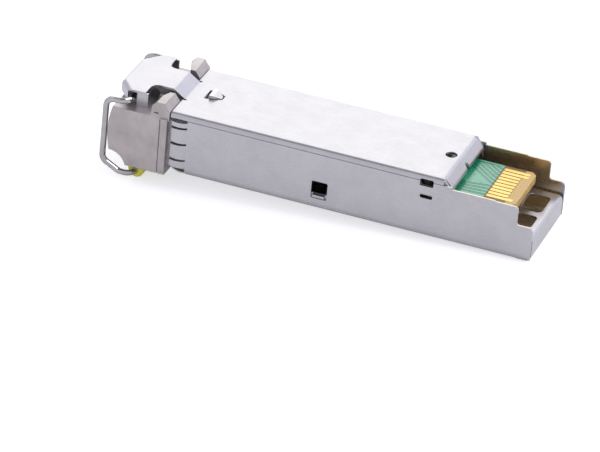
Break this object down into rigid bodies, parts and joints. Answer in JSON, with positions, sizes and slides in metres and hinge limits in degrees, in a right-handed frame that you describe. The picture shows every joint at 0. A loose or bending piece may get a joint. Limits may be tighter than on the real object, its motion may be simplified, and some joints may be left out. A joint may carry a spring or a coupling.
{
  "type": "pluggable optical transceiver module",
  "caption": "Small pluggable optical transceiver: folded metal case, cast nose with a duplex port, wire bail with a coloured grip, rocking latch boss and gold card-edge contacts.",
  "frame": {"origin": "on the label face, on the centreline, level with the latch shoulder", "axes": "+X to the rear edge connector, +Y to the receiving side, +Z from the label face to the latch side"},
  "size_m": [0.0569, 0.014, 0.0121],
  "materials": {
    "nickel_sheet": "bright nickel plate",
    "cast_nose": "satin nickel plate on a zinc casting",
    "latch_steel": "satin",
    "bail_steel": "bright drawn wire",
    "grip_plastic": "moulded yellow",
    "optics_metal": "turned",
    "white_ceramic": "polished ceramic",
    "gold_plate": "gold plate",
    "flex_film": "polyimide film",
    "fork_plastic": "moulded",
    "green_board": "solder mask",
    "chip_black": "moulded",
    "pad_rubber": "soft thermal pad",
    "capacitor_tan": "ceramic",
    "ferrite_grey": "ferrite"
  },
  "bodies": {
    "housing": {"label_shell": "nickel_sheet", "latch_cover": "nickel_sheet", "nose_housing": "cast_nose", "lever_pin": "latch_steel", "lever_spring": "latch_steel", "transmitter_barrel": "optics_metal", "receiver_barrel": "optics_metal", "transmitter_sleeve": "white_ceramic", "receiver_sleeve": "white_ceramic", "transmitter_can": "gold_plate", "receiver_can": "gold_plate", "transmitter_flex": "flex_film", "receiver_flex": "flex_film", "optics_fork": "fork_plastic", "circuit_board": "green_board", "latch_side_contacts": "gold_plate", "label_side_contacts": "gold_plate", "laser_driver": "chip_black", "receive_amplifier": "chip_black", "controller_chip": "chip_black", "memory_chip": "chip_black", "thermal_pad": "pad_rubber", "capacitors": "capacitor_tan", "ferrite_beads": "ferrite_grey"},
    "bail": {"bail_wire": "bail_steel", "bail_grip": "grip_plastic"},
    "lever": {"latch_lever": "latch_steel"}
  },
  "joints": [
    {"name": "bail_swing", "type": "hinge", "parent": "housing", "child": "bail", "pos_m": [-0.00855, 0, 0.0084], "axis": [0, 1, 0], "range_deg": [0, 90]},
    {"name": "lever_rock", "type": "hinge", "parent": "housing", "child": "lever", "pos_m": [-0.0052, 0, 0.00815], "axis": [0, 1, 0], "range_deg": [0, 5.5], "deforming": ["lever_spring"]}
  ],
  "couplings": [
    {"joint": "lever_rock", "follows": "bail_swing", "ratio": 0.061111}
  ]
}
